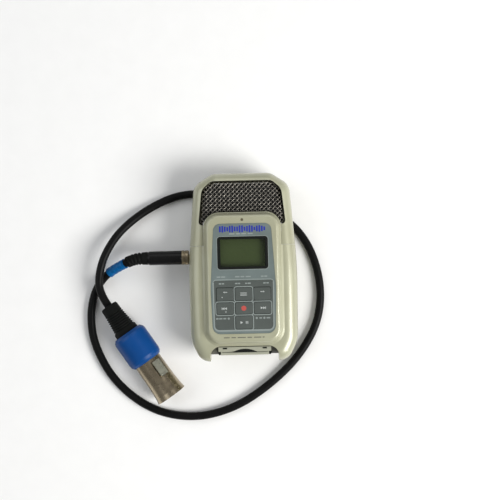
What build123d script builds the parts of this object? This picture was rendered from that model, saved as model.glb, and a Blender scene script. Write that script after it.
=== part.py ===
from build123d import *
import os
from math import radians, tan

os.makedirs("parts", exist_ok=True)

# A pocket-size stereo field recorder lying on its back, with an adapter lead plugged into its side.
# Millimetres. X runs across the recorder, Y towards its microphone head, Z out of its display.
# The origin is under the middle of the recorder, on the surface it lies on.

# ---------------------------------------------------------------- driving dimensions
case_width = 63.5
case_back = 6.4  # the battery cover bulges below this height
split_z = 16.4  # the front and rear shells meet here
case_front = 27.6  # the side rails' front
plateau_top = 32.0
wall = 2.0
seam_y = 12.7  # the lower covers meet the head frames here
gap = 0.15  # clearance of a fitted panel

notch_half = 20.0
notch_rear_y = -51.3
notch_front_y = -45.7

plateau_half = 22.6
plateau_low_y = -44.7
plateau_high_y = 32.0
plateau_draft = 25
plateau_wall = 1.8

panel_floor = 31.4  # floor of the faceplate's recess
panel_front = 31.95
board_bottom = 20.6
board_top = 21.6

battery_radius = 7.25
battery_length = 50.5
battery_x = 7.6
battery_z = 9.05
battery_low_y = -42.0
bay_half = 15.2
cover_half = 21.5
cover_low_y = -48.3
cover_high_y = 11.2
cover_top = case_back - 0.2

jack_z = 14.0
mic_y = 6.3
phones_y = 6.3
line_y = -8.0
pin_radius = 1.75
pin_length = 14.0
bore_radius = 1.8
side_x = case_width / 2

screw_places = [(sx * 24.5, y) for sx in (-1, 1) for y in (-38.0, -0.9)]
tripod_z = 12.3
tripod_radius = 2.6
usb_x = 12.0

capsule_places = [(-11.0, 40.0), (11.0, 40.0)]

cord_diameter = 4.8

# The lead's route from the plug's relief to the connector's boot: down to the table, round the
# lower end and right side, under the head, and over its own start.
lead_route = [
    (-68.0, 4.6, 11.8),
    (-76.0, 1.2, 7.4),
    (-84.5, -4.6, 3.3),
    (-90.5, -13.8, 2.4),
    (-93.2, -28.0, 2.4),
    (-91.2, -45.5, 2.4),
    (-79.5, -68.0, 2.4),
    (-58.0, -85.5, 2.4),
    (-33.0, -91.2, 2.4),
    (-8.0, -86.0, 2.4),
    (14.5, -72.0, 2.4),
    (33.5, -54.0, 2.4),
    (45.5, -32.5, 2.4),
    (46.8, -8.5, 2.4),
    (38.8, 15.5, 2.4),
    (24.0, 30.5, 2.4),
    (1.5, 38.0, 2.4),
    (-19.0, 44.2, 2.4),
    (-37.5, 44.6, 2.4),
    (-57.0, 36.3, 2.4),
    (-73.5, 23.5, 6.0),
    (-82.5, 9.5, 10.5),
    (-86.4, -3.5, 10.6),
    (-85.93, -14.14, 10.5),
    (-80.9, -21.6, 10.5),
]


# ---------------------------------------------------------------- helpers
def save(builder, name):
    """Label a finished piece and write it to its own file."""
    builder.part.label = name
    export_step(builder.part, f"parts/{name}.step")


def both_sides(points):
    """A symmetrical outline, anticlockwise, from the points of its right half, top to bottom."""
    return points[::-1] + [(-x, y) for x, y in points]


def both_radii(radii):
    """The corner radii of such an outline, from those of its right half, top to bottom."""
    return radii[::-1] + radii


def rounded_face(points, radii):
    """A flat face with each of its corners rounded by its own radius."""
    with BuildSketch() as face:
        with BuildLine():
            FilletPolyline(*points, radius=radii, close=True)
        make_face()
    return face.sketch


def grown(face, amount):
    """The same face, larger all round, or smaller for a negative amount."""
    with BuildSketch() as bigger:
        add(face)
        offset(amount=amount)
    return bigger.sketch


def prism(face, bottom, top, draft=0):
    """A face raised straight up from one height to another."""
    with BuildPart() as solid:
        with BuildSketch(Plane.XY.offset(bottom)):
            add(face)
        extrude(amount=top - bottom, taper=draft)
    return solid.part


def block(x_range, y_range, z_range):
    """A plain box between two limits on each axis."""
    with BuildPart() as solid:
        with Locations([(sum(x_range) / 2, sum(y_range) / 2, sum(z_range) / 2)]):
            Box(x_range[1] - x_range[0], y_range[1] - y_range[0], z_range[1] - z_range[0])
    return solid.part


def rod(start, direction, radius, length):
    """A round bar from a point along a direction."""
    with BuildPart() as solid:
        with BuildSketch(Plane(origin=start, z_dir=direction)):
            Circle(radius)
        extrude(amount=length)
    return solid.part


def turned(start, direction, profile):
    """A body of revolution: (distance along the axis, radius) points from a start point."""
    axis_plane = Plane(origin=start, z_dir=direction)
    side_plane = Plane(origin=start, x_dir=axis_plane.z_dir, z_dir=axis_plane.x_dir)
    with BuildPart() as solid:
        with BuildSketch(side_plane):
            with BuildLine():
                Polyline([(profile[0][0], 0)] + profile + [(profile[-1][0], 0)], close=True)
            make_face()
        revolve(axis=Axis(start, tuple(axis_plane.z_dir)))
    return solid.part


# ---------------------------------------------------------------- outlines
case_corners = [(17.0, 55.0), (28.0, 47.9), (31.87, 1.0), (31.3, -43.0), (25.5, -55.0)]
case_radii = [8.0, 9.0, 300.0, 20.0, 8.5]
case_outline = rounded_face(both_sides(case_corners), both_radii(case_radii))

plateau_corners = [(plateau_half, plateau_high_y), (plateau_half, plateau_low_y)]
plateau_outline = rounded_face(both_sides(plateau_corners), 9.0)

window_corners = [(17.6, 50.4), (23.2, 45.4), (25.4, 24.8)]
window_radii = [4.5, 7.0, 2.0]
front_window = rounded_face(both_sides(window_corners), both_radii(window_radii))
rear_window_corners = [(17.0, 50.2), (22.6, 44.8), (24.0, 20.0)]
rear_window = rounded_face(both_sides(rear_window_corners), both_radii(window_radii))

notch_corners = [(notch_half, notch_front_y), (notch_half, -60.0)]
notch_face = rounded_face(both_sides(notch_corners), both_radii([6.0, 0.0]))

faceplate_corners = [(16.5, 25.3), (18.8, -12.0), (18.0, -38.1)]
faceplate_radii = [4.0, 60.0, 4.5]
faceplate_outline = rounded_face(both_sides(faceplate_corners), both_radii(faceplate_radii))

lens_half = (14.65, 9.45)
lens_y = 8.4
lens_corners = [(lens_half[0], lens_y + lens_half[1]), (lens_half[0], lens_y - lens_half[1])]
lens_outline = rounded_face(both_sides(lens_corners), 2.0)

keypad_corners = [(17.6, -7.6), (17.3, -36.4)]
keypad_outline = rounded_face(both_sides(keypad_corners), both_radii([1.5, 3.0]))

key_rects = {
    "key_menu": (-4.9, 4.9, -19.1, -11.6),
    "key_record": (-4.9, 4.9, -26.9, -20.1),
    "key_play": (-4.9, 4.9, -35.5, -27.9),
    "key_rewind": (-15.6, -5.9, -26.9, -20.1),
    "key_forward": (5.9, 15.6, -26.9, -20.1),
    "key_pattern_left": (-15.6, -5.9, -19.1, -11.6),
    "key_pattern_right": (5.9, 15.6, -19.1, -11.6),
}


def key_face(name, grow=0.0):
    """A key's outline, with small round corners."""
    left, right, low, high = key_rects[name]
    corners = [(right, low), (right, high), (left, high), (left, low)]
    face = rounded_face(corners, 0.8)
    return grown(face, grow) if grow else face


# ---------------------------------------------------------------- the case as one solid
def case_body(inset):
    """The whole case, or the space inside it, drawn in by the wall."""
    rear_edge = 6.0
    front_edge = 7.0
    with BuildPart() as body:
        with BuildSketch(Plane.XY.offset(case_back + inset)):
            add(case_outline)
            if inset:
                offset(amount=-inset)
        extrude(amount=case_front - case_back - 2 * inset)
        fillet(body.faces().sort_by(Axis.Z)[0].edges(), rear_edge - inset)
        fillet(body.faces().sort_by(Axis.Z)[-1].edges(), front_edge - inset)
    return body.part


case_solid = case_body(0.0)
case_space = case_body(wall)
screw_shank = 1.0
screw_boss = 2.6

with BuildPart() as plateau:
    with BuildSketch(Plane.XY.offset(case_front)):
        add(plateau_outline)
    extrude(amount=plateau_top - case_front, taper=plateau_draft)
    fillet(plateau.faces().sort_by(Axis.Z)[-1].edges(), 2.0)

skirt_width = 0.9
skirt_height = 0.8
skirt_draft = 57.8
plateau_skirt = prism(grown(plateau_outline, skirt_width), case_front, case_front + skirt_height, skirt_draft)

with BuildPart() as front_body:
    add(case_solid)
    add(plateau.part)
    add(plateau_skirt)

plateau_space = prism(grown(plateau_outline, -plateau_wall - 1.6), case_front - 4.0, plateau_top - plateau_wall)
arch_block = prism(plateau_outline, split_z, plateau_top + 1.0)
arch_clearance = prism(grown(plateau_outline, gap), split_z - 1.0, plateau_top + 1.0)
arch_space = prism(grown(plateau_outline, -plateau_wall), split_z - 1.0, case_front - 2.0)
lower_half = block((-40, 40), (-60, seam_y), (split_z, 40))

# ---------------------------------------------------------------- openings that several pieces share
side_jacks = [(-1, mic_y), (-1, line_y), (1, phones_y), (1, line_y)]
nozzle_radius = 3.8
with BuildPart() as jack_holes:
    for side, y in side_jacks:
        with BuildSketch(Plane(origin=(side * 28.0, y, jack_z), z_dir=(side, 0, 0))):
            Circle(nozzle_radius + gap)
        extrude(amount=6.0)

gain_y = -22.0
power_y = -30.0
rocker_y = -19.0
slot_z = 13.2
slot_height = 3.4
with BuildPart() as switch_slots:
    for side, y, half_length in [(-1, gain_y, 5.6), (1, power_y, 4.6), (1, rocker_y, 5.6)]:
        with BuildSketch(Plane(origin=(side * 29.0, y, slot_z), x_dir=(0, 1, 0), z_dir=(side, 0, 0))):
            SlotOverall(2 * half_length, slot_height)
        extrude(amount=5.0)

notch_front = prism(notch_face, split_z - 1.0, case_front + 1.0)
notch_rear = block((-notch_half, notch_half), (-60.0, notch_rear_y), (0.0, split_z + 1.0))
shell_gap = 0.12  # the seam between the front and rear shells
seam_gap = 0.18  # the seam between the covers and the head frames

# ---------------------------------------------------------------- front shell
with BuildPart() as front_space:
    add(case_space)
    add(block((-22.2, 22.2), (-60.0, -43.5), (0.0, 40.0)), mode=Mode.SUBTRACT)

with BuildPart() as arch:
    add(front_body.part)
    add(arch_block, mode=Mode.INTERSECT)
    add(block((-40, 40), (-60, seam_y - 2.0), (0, 40)), mode=Mode.SUBTRACT)
    add(arch_space, mode=Mode.SUBTRACT)

with BuildPart() as front_bosses:
    with BuildSketch(Plane.XY.offset(split_z)):
        with Locations(*screw_places):
            Circle(screw_boss)
            Circle(screw_shank + 0.02, mode=Mode.SUBTRACT)
    extrude(amount=case_front - wall - split_z + 0.1)

with BuildPart() as front_cover:
    add(front_body.part)
    add(lower_half, mode=Mode.INTERSECT)
    add(front_space.part, mode=Mode.SUBTRACT)
    add(arch.part)
    add(plateau_space, mode=Mode.SUBTRACT)
    add(front_bosses.part)
    add(notch_front, mode=Mode.SUBTRACT)
    add(jack_holes.part, mode=Mode.SUBTRACT)
    add(prism(grown(faceplate_outline, 0.12), panel_floor, 34.0), mode=Mode.SUBTRACT)
    add(prism(grown(lens_outline, 0.1), 31.0, 34.0), mode=Mode.SUBTRACT)
    add(prism(grown(lens_outline, -1.2), 29.0, 34.0), mode=Mode.SUBTRACT)
    for key_name in key_rects:
        add(prism(key_face(key_name, 0.25), 29.0, 34.0), mode=Mode.SUBTRACT)
    add(rod((0.0, 27.5, 29.0), (0, 0, 1), 0.8, 5.0), mode=Mode.SUBTRACT)
    add(block((-12.4, 12.4), (-47.0, -43.0), (17.6, 20.3)), mode=Mode.SUBTRACT)
save(front_cover, "front_cover")

# ---------------------------------------------------------------- rear shell
tab_x = 12.0
with BuildPart() as rear_space:
    add(case_space)
    add(block((-22.2, 22.2), (-60.0, -49.3), (0.0, 40.0)), mode=Mode.SUBTRACT)

with BuildPart() as rear_bosses:
    with BuildSketch(Plane.XY.offset(case_back + wall - 0.1)):
        with Locations(*screw_places):
            Circle(screw_boss)
    extrude(amount=split_z - case_back - wall - shell_gap)

with BuildPart() as rear_cover:
    add(case_solid)
    add(block((-40, 40), (-60, seam_y), (0, split_z - shell_gap)), mode=Mode.INTERSECT)
    add(rear_space.part, mode=Mode.SUBTRACT)
    add(rear_bosses.part)
    add(notch_rear, mode=Mode.SUBTRACT)
    add(jack_holes.part, mode=Mode.SUBTRACT)
    add(switch_slots.part, mode=Mode.SUBTRACT)
    add(block((-bay_half, bay_half), (-45.0, 10.0), (0.0, 9.0)), mode=Mode.SUBTRACT)
    for x in (-tab_x, tab_x):
        add(block((x - 3.0, x + 3.0), (9.5, 12.0), (0.0, 9.0)), mode=Mode.SUBTRACT)
    with Locations(*[(x, y, case_back - 1.0) for x, y in screw_places]):
        Cylinder(screw_shank + 0.05, 20.0, align=(Align.CENTER, Align.CENTER, Align.MIN), mode=Mode.SUBTRACT)
        Cylinder(2.1, 3.05, align=(Align.CENTER, Align.CENTER, Align.MIN), mode=Mode.SUBTRACT)
    add(rod((0.0, -52.0, tripod_z), (0, 1, 0), 3.75, 4.0), mode=Mode.SUBTRACT)
    add(block((usb_x - 4.0, usb_x + 4.0), (-52.0, -48.0), (10.3, 14.3)), mode=Mode.SUBTRACT)
save(rear_cover, "rear_cover")

# ---------------------------------------------------------------- head frames and grilles
with BuildPart() as head_frame_front:
    add(case_solid)
    add(block((-40, 40), (seam_y + seam_gap, 60), (split_z, 40)), mode=Mode.INTERSECT)
    add(case_space, mode=Mode.SUBTRACT)
    add(prism(front_window, split_z - 1.0, 30.0), mode=Mode.SUBTRACT)
    add(arch_clearance, mode=Mode.SUBTRACT)
save(head_frame_front, "head_frame_front")

with BuildPart() as head_frame_rear:
    add(case_solid)
    add(block((-40, 40), (seam_y + seam_gap, 60), (0, split_z - shell_gap)), mode=Mode.INTERSECT)
    add(case_space, mode=Mode.SUBTRACT)
    add(prism(rear_window, 0.0, 12.0), mode=Mode.SUBTRACT)
save(head_frame_rear, "head_frame_rear")

tray_depth = 4.2
tray_skin = 1.0
tray_flange = 0.8


def tray_solid(outline, inset, height, edge):
    """A shallow pan's outer or inner shape, open side at zero height."""
    with BuildPart() as pan:
        with BuildSketch():
            add(outline)
            offset(amount=-inset)
        extrude(amount=height)
        fillet(pan.faces().sort_by(Axis.Z)[-1].edges(), edge)
    return pan.part


def pressed_tray(outline):
    """A grille pressed into a pan, with a flange that sits under the frame's lip."""
    with BuildPart() as tray:
        add(tray_solid(outline, 0.2, tray_depth, 2.6))
        with BuildSketch():
            add(grown(outline, 1.0))
        extrude(amount=tray_flange)
        add(tray_solid(outline, 0.2 + tray_skin, tray_depth - tray_skin, 1.6), mode=Mode.SUBTRACT)
    return tray.part


front_tray_z = 22.6
with BuildPart() as front_grille:
    add(pressed_tray(front_window).moved(Location((0, 0, front_tray_z))))
    add(prism(grown(plateau_outline, 0.35), 16.0, 34.0), mode=Mode.SUBTRACT)
save(front_grille, "front_grille")

rear_tray_z = 11.2
with BuildPart() as rear_grille:
    add(pressed_tray(rear_window).mirror(Plane.XY).moved(Location((0, 0, rear_tray_z))))
save(rear_grille, "rear_grille")

with BuildPart() as grille_linings:
    add(prism(grown(front_window, -1.6), 22.0, 24.2))
    add(prism(grown(plateau_outline, 0.6), 16.0, 34.0), mode=Mode.SUBTRACT)
    add(prism(grown(rear_window, -1.6), 9.6, 11.2))
save(grille_linings, "grille_linings")

# ---------------------------------------------------------------- microphone capsules
carrier_bottom = 15.6
carrier_top = 17.0
with BuildPart() as capsule_carrier:
    with BuildSketch(Plane.XY.offset(carrier_bottom)):
        with Locations((0, 41.25)):
            Rectangle(48.0, 14.5)
    extrude(amount=carrier_top - carrier_bottom)
    fillet(capsule_carrier.edges().filter_by(Axis.Z), 3.0)
    with Locations(*[(x, 40.0, carrier_bottom) for x in (-3.0, 3.0)]):
        Cylinder(1.2, 6.0, mode=Mode.SUBTRACT)
save(capsule_carrier, "capsule_carrier")

with BuildPart() as mic_capsules:
    capsule_profile = [(0.0, 4.85), (3.7, 4.85), (3.7, 3.9), (4.2, 3.9)]
    for x, y in capsule_places:
        add(turned((x, y, carrier_top), (0, 0, 1), capsule_profile))
        add(turned((x, y, carrier_bottom), (0, 0, -1), capsule_profile))
save(mic_capsules, "mic_capsules")

# ---------------------------------------------------------------- display, faceplate and keypad
with BuildPart() as faceplate:
    add(prism(faceplate_outline, panel_floor, panel_front))
    add(prism(grown(lens_outline, 0.1), 31.0, 34.0), mode=Mode.SUBTRACT)
    add(prism(grown(keypad_outline, 0.12), 31.0, 34.0), mode=Mode.SUBTRACT)
save(faceplate, "faceplate")

with BuildPart() as display_window:
    add(prism(lens_outline, 31.0, 31.9))
save(display_window, "display_window")

mask_top = 31.75
with BuildPart() as keypad_mask:
    add(prism(keypad_outline, panel_floor, mask_top))
    for key_name in key_rects:
        add(prism(key_face(key_name, 0.25), 31.0, 34.0), mode=Mode.SUBTRACT)
save(keypad_mask, "keypad_mask")

border_width = 0.5
cross_keys = ["key_menu", "key_record", "key_play", "key_rewind", "key_forward"]
with BuildPart() as key_borders:
    with BuildSketch(Plane.XY.offset(mask_top)):
        add(keypad_outline)
        add(grown(keypad_outline, -0.6), mode=Mode.SUBTRACT)
        with Locations((0, -7.0)):
            Rectangle(40.0, 3.0, mode=Mode.SUBTRACT)
        for key_name in cross_keys:
            add(key_face(key_name, 0.25 + border_width))
        for key_name in key_rects:
            add(key_face(key_name, 0.25), mode=Mode.SUBTRACT)
    extrude(amount=0.17)
save(key_borders, "key_borders")

cap_bottom = 30.4
stem_bottom = 25.8
for key_name, (left, right, low, high) in key_rects.items():
    with BuildPart() as key:
        with BuildSketch(Plane.XY.offset(cap_bottom)):
            add(key_face(key_name))
        extrude(amount=panel_front - cap_bottom)
        fillet(key.faces().sort_by(Axis.Z)[-1].edges(), 0.25)
        with BuildSketch(Plane.XY.offset(stem_bottom)):
            with Locations(((left + right) / 2, (low + high) / 2)):
                Circle(1.4)
        extrude(amount=cap_bottom - stem_bottom)
    save(key, key_name)

with BuildPart() as tact_switches:
    for left, right, low, high in key_rects.values():
        with Locations(((left + right) / 2, (low + high) / 2, board_top)):
            Box(4.6, 4.6, 3.0, align=(Align.CENTER, Align.CENTER, Align.MIN))
            Cylinder(1.2, 3.6, align=(Align.CENTER, Align.CENTER, Align.MIN))
save(tact_switches, "tact_switches")

with BuildPart() as record_lamp:
    add(turned((0.0, 27.5, board_top), (0, 0, 1), [(0.0, 1.6), (1.6, 1.6), (1.6, 0.72), (10.35, 0.72)]))
save(record_lamp, "record_lamp")

with BuildPart() as lcd_bezel:
    add(block((-17.0, 17.0), (lens_y - 11.2, lens_y + 11.2), (28.6, 30.1)))
    add(block((-12.9, 12.9), (lens_y - 7.9, lens_y + 7.9), (28.0, 31.0)), mode=Mode.SUBTRACT)
save(lcd_bezel, "lcd_bezel")

with BuildPart() as lcd_panel:
    add(block((-14.5, 14.5), (lens_y - 9.5, lens_y + 9.5), (27.2, 28.6)))
save(lcd_panel, "lcd_panel")

with BuildPart() as lcd_carrier:
    add(block((-15.5, 15.5), (lens_y - 10.0, lens_y + 10.0), (board_top, 27.2)))
    add(block((-13.5, 13.5), (lens_y - 8.0, lens_y + 8.0), (board_top, 25.6)), mode=Mode.SUBTRACT)
save(lcd_carrier, "lcd_carrier")

# ---------------------------------------------------------------- main board and card
with BuildPart() as main_board:
    with BuildSketch(Plane.XY.offset(board_bottom)):
        with Locations((0, -15.0)):
            Rectangle(56.4, 50.0)
        with Locations((0, 17.0)):
            Rectangle(38.0, 20.0)
        with Locations((0, 27.0)):
            Rectangle(8.0, 6.0)
        with Locations(*screw_places):
            Circle(screw_boss + 0.4, mode=Mode.SUBTRACT)
    extrude(amount=board_top - board_bottom)
save(main_board, "main_board")

chips = [(0.0, -4.0, 12.0, 12.0), (-20.0, -15.0, 8.0, 10.0), (19.5, -16.0, 7.0, 7.0), (0.0, 20.0, 9.0, 6.0)]
with BuildPart() as board_chips:
    for x, y, long_side, short_side in chips:
        with Locations((x, y, board_bottom - 0.6)):
            Box(long_side, short_side, 1.2)
save(board_chips, "board_chips")

with BuildPart() as card_socket:
    add(block((-14.0, 14.0), (-42.5, -12.6), (17.4, board_bottom)))
    add(block((-12.2, 12.2), (-43.0, -13.0), (17.85, 20.05)), mode=Mode.SUBTRACT)
save(card_socket, "card_socket")

with BuildPart() as memory_card:
    with BuildSketch(Plane.XY.offset(17.9)):
        with BuildLine():
            Polyline((-12, -45.2), (12, -45.2), (12, -13.2), (-8, -13.2), (-12, -17.2), close=True)
        make_face()
    extrude(amount=2.1)
save(memory_card, "memory_card")

with BuildPart() as card_bay:
    with BuildSketch(Plane.XY.offset(split_z + 0.1)):
        add(grown(notch_face, -0.25))
        with Locations((0, -60.0)):
            Rectangle(60.0, 2 * (60.0 - 51.1), mode=Mode.SUBTRACT)
    extrude(amount=6.6)
    add(block((-15.9, 15.9), (-60, -40), (17.2, 30)), mode=Mode.SUBTRACT)
    outer_edges = card_bay.edges().filter_by(Axis.X).filter_by_position(Axis.Y, -51.2, -51.0)
    fillet(outer_edges.sort_by(Axis.Z)[-2:], 4.6)
save(card_bay, "card_bay")

arch_radius = 14.5
with BuildPart() as finger_arch:
    add(rod((0.0, -47.5 - arch_radius, 19.8), (0, 0, 1), arch_radius, 6.0))
    add(block((-arch_radius, arch_radius), (-49.5, -40.0), (0.0, 30.0)), mode=Mode.INTERSECT)

with BuildPart() as card_door:
    add(block((-15.4, 15.4), (-51.2, -46.4), (17.5, 25.0)))
    add(block((-16.0, 16.0), (-52.0, -48.9), (23.5, 26.0)), mode=Mode.SUBTRACT)
    fillet(card_door.edges().filter_by(Axis.X).sort_by(Axis.Y)[:2].sort_by(Axis.Z)[0], 0.7)
    add(finger_arch.part, mode=Mode.SUBTRACT)
    add(block((-13.4, 13.4), (-49.8, -49.4), (22.4, 26.0)), mode=Mode.SUBTRACT)
    for x in (-11.6, 11.6):
        add(block((x - 1.3, x + 1.3), (-47.6, -46.7), (20.5, 26.0)), mode=Mode.SUBTRACT)
    for side in (-1, 1):
        add(block(sorted((side * 14.0, side * 15.6)), (-51.3, -49.2), (20.2, 26.0)), mode=Mode.SUBTRACT)
save(card_door, "card_door")

# ---------------------------------------------------------------- batteries
with BuildPart() as battery_bay:
    add(block((-bay_half - 1.0, bay_half + 1.0), (-46.0, 11.0), (8.5, 16.25)))
    add(block((-bay_half - 1.0, bay_half + 1.0), (-43.2, 11.0), (16.2, 17.1)))
    add(block((-bay_half, bay_half), (-45.0, 10.0), (8.0, 16.0)), mode=Mode.SUBTRACT)
    for x in (-battery_x, battery_x):
        add(rod((x, -43.5, battery_z), (0, 1, 0), battery_radius + 0.15, 53.4), mode=Mode.SUBTRACT)
save(battery_bay, "battery_bay")

cell_profile = [(0.0, battery_radius), (49.5, battery_radius), (49.5, 2.7), (battery_length, 2.7)]
with BuildPart() as battery_cells:
    add(turned((-battery_x, battery_low_y, battery_z), (0, 1, 0), cell_profile))
    add(turned((battery_x, battery_low_y + battery_length, battery_z), (0, -1, 0), cell_profile))
save(battery_cells, "battery_cells")

contact_high_y = battery_low_y + battery_length
plate_low_z = 7.6  # the cover's hinge tabs swing past under the plates
with BuildPart() as battery_contacts:
    for x, spring_low in [(-battery_x, True), (battery_x, False)]:
        add(block((x - 4.5, x + 4.5), (-45.0, -44.6), (plate_low_z, 13.6)))
        add(block((x - 4.5, x + 4.5), (9.6, 10.0), (plate_low_z, 13.6)))
        if spring_low:
            add(turned((x, -44.6, battery_z), (0, 1, 0), [(0.0, 3.4), (2.6, 2.2)]))
            add(rod((x, contact_high_y, battery_z), (0, 1, 0), 2.0, 9.6 - contact_high_y))
        else:
            add(rod((x, -44.6, battery_z), (0, 1, 0), 2.0, battery_low_y + 44.6))
            add(turned((x, 9.6, battery_z), (0, -1, 0), [(0.0, 3.4), (1.1, 2.8)]))
save(battery_contacts, "battery_contacts")

cover_corners = [(cover_half, cover_high_y), (cover_half, cover_low_y)]
cover_outline = rounded_face(both_sides(cover_corners), both_radii([6.0, 8.0]))
cover_skin = 1.6
with BuildPart() as cover_space:
    with BuildSketch(Plane.XY.offset(cover_skin)):
        add(grown(cover_outline, -cover_skin))
    extrude(amount=cover_top)
    fillet(cover_space.faces().sort_by(Axis.Z)[0].edges(), 2.0)

with BuildPart() as battery_cover:
    with BuildSketch():
        add(cover_outline)
    extrude(amount=cover_top)
    fillet(battery_cover.faces().sort_by(Axis.Z)[0].edges(), 3.6)
    add(cover_space.part, mode=Mode.SUBTRACT)
    for x in (-tab_x, tab_x):
        add(block((x - 2.5, x + 2.5), (10.2, 11.6), (cover_top - 0.01, 7.3)))
    for rib in range(5):
        add(block((-7.0, 7.0), (-43.0 + 1.6 * rib, -42.2 + 1.6 * rib), (-1.0, 0.35)), mode=Mode.SUBTRACT)
save(battery_cover, "battery_cover")

# ---------------------------------------------------------------- sockets and switches
jack_inner_x = 16.6
jack_face_x = 27.8
nozzle_end_x = 31.0
bore_end_x = 17.2


def side_jack(side, y, radius):
    """A socket block against the side wall, with its nozzle in the wall's hole."""
    with BuildPart() as jack:
        add(block(sorted((side * jack_inner_x, side * jack_face_x)), (y - 4.0, y + 4.0), (9.9, 19.4)))
        nozzle_length = nozzle_end_x - jack_face_x + 0.1
        add(rod((side * (jack_face_x - 0.1), y, jack_z), (side, 0, 0), nozzle_radius, nozzle_length))
        bore_length = nozzle_end_x - bore_end_x + 1.0
        add(rod((side * bore_end_x, y, jack_z), (side, 0, 0), radius, bore_length), mode=Mode.SUBTRACT)
    return jack


mic_in_jack = side_jack(-1, mic_y, bore_radius)
save(mic_in_jack, "mic_in_jack")
line_in_jack = side_jack(-1, line_y, bore_radius)
save(line_in_jack, "line_in_jack")
phones_jack = side_jack(1, phones_y, bore_radius)
save(phones_jack, "phones_jack")
dc_jack = side_jack(1, line_y, 2.75)
with BuildPart() as dc_socket:
    add(dc_jack.part)
    add(rod((bore_end_x - 0.5, line_y, jack_z), (1, 0, 0), 0.8, 10.0))
save(dc_socket, "dc_jack")

with BuildPart() as usb_port:
    add(block((usb_x - 3.9, usb_x + 3.9), (-51.2, -46.3), (10.4, 14.2)))
    add(block((usb_x - 3.4, usb_x + 3.4), (-52.0, -47.0), (10.9, 13.7)), mode=Mode.SUBTRACT)
    add(block((usb_x - 2.6, usb_x + 2.6), (-50.8, -46.9), (12.0, 12.7)))
save(usb_port, "usb_port")

with BuildPart() as tripod_insert:
    with BuildSketch(Plane(origin=(0, -51.2, tripod_z), z_dir=(0, 1, 0))):
        Circle(3.7)
        Circle(tripod_radius, mode=Mode.SUBTRACT)
    extrude(amount=4.8)
save(tripod_insert, "tripod_insert")

with BuildPart() as case_screws:
    for x, y in screw_places:
        add(turned((x, y, 7.0), (0, 0, 1), [(0.0, 1.9), (1.4, 1.9), (1.4, screw_shank), (14.0, screw_shank)]))
    with Locations(*[(x, y, 7.0) for x, y in screw_places]):
        Box(2.4, 0.5, 1.0, mode=Mode.SUBTRACT)
        Box(0.5, 2.4, 1.0, mode=Mode.SUBTRACT)
save(case_screws, "case_screws")

with BuildPart() as slide_switches:
    for side, y in [(-1, gain_y), (1, power_y), (1, rocker_y)]:
        add(block(sorted((side * 25.6, side * 29.2)), (y - 4.0, y + 4.0), (11.4, 16.0)))
save(slide_switches, "slide_switches")

knob_inner_x = 29.9
knob_outer_x = 31.35
knob_height = 2.9


def side_knob(side, y, half_length):
    """A small cap that fills the height of its slot, ribbed across its outer face."""
    with BuildPart() as knob:
        with BuildSketch(Plane(origin=(side * knob_inner_x, y, slot_z), x_dir=(0, 1, 0), z_dir=(side, 0, 0))):
            RectangleRounded(2 * half_length, knob_height, 0.9)
        extrude(amount=knob_outer_x - knob_inner_x)
        fillet(knob.faces().sort_by(Axis.X)[-1 if side > 0 else 0].edges(), 0.3)
        for step in (-1, 0, 1):
            groove = block((-0.15, 0.15), (y + step - 0.15, y + step + 0.15), (slot_z - 1.0, slot_z + 1.0))
            add(groove.moved(Location((side * knob_outer_x, 0, 0))), mode=Mode.SUBTRACT)
    return knob


gain_knob = side_knob(-1, gain_y, 2.6)
save(gain_knob, "gain_knob")
power_knob = side_knob(1, power_y, 2.3)
save(power_knob, "power_knob")
volume_rocker = side_knob(1, rocker_y, 5.2)
save(volume_rocker, "volume_rocker")

# ---------------------------------------------------------------- plug
collar_start_x = -side_x - 0.2
collar_end_x = -36.1
barrel_end_x = -56.9
pin_start = (collar_start_x, mic_y, jack_z)
pin_profile = [
    (0.0, pin_radius), (4.2, pin_radius), (4.2, 1.6), (5.0, 1.6), (5.0, pin_radius), (8.6, pin_radius),
    (8.6, 1.6), (9.4, 1.6), (9.4, pin_radius), (11.4, 1.3), (12.4, 1.6), (pin_length - 0.6, 0.9),
    (pin_length, 0.4),
]
with BuildPart() as plug_pin:
    add(turned(pin_start, (1, 0, 0), pin_profile))
save(plug_pin, "plug_pin")

collar_length = collar_start_x - collar_end_x
with BuildPart() as plug_collar:
    collar_profile = [(0.0, 3.9), (0.5, 4.3), (2.2, 4.3), (2.4, 4.0)]
    collar_profile += [(2.8, 4.0), (3.0, 4.3), (collar_length, 4.3)]
    add(turned(pin_start, (-1, 0, 0), collar_profile))
save(plug_collar, "plug_collar")

barrel_length = collar_end_x - barrel_end_x
with BuildPart() as plug_barrel:
    barrel_profile = [(0.0, 4.0), (0.4, 4.15), (barrel_length - 1.6, 4.1), (barrel_length, 3.3)]
    add(turned((collar_end_x, mic_y, jack_z), (-1, 0, 0), barrel_profile))
save(plug_barrel, "plug_barrel")

relief_start = (barrel_end_x, mic_y, jack_z)
relief_corner = (-64.0, mic_y, jack_z)
relief_radius = 2.9
with BuildPart() as plug_relief:
    with BuildLine():
        FilletPolyline(relief_start, relief_corner, lead_route[0], radius=13.0)
    with BuildSketch(Plane(origin=relief_start, z_dir=(-1, 0, 0))):
        Circle(relief_radius)
    sweep()
save(plug_relief, "plug_relief")


# ---------------------------------------------------------------- lead
def corner_radii(route):
    """Each corner's arc is as large as its two runs allow."""
    radii = []
    for before, corner, after in zip(route, route[1:], route[2:]):
        run_in = Vector(corner) - Vector(before)
        run_out = Vector(after) - Vector(corner)
        half_turn = radians(run_in.get_angle(run_out) / 2)
        radii.append(0.45 * min(run_in.length, run_out.length) / tan(half_turn))
    return radii


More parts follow.
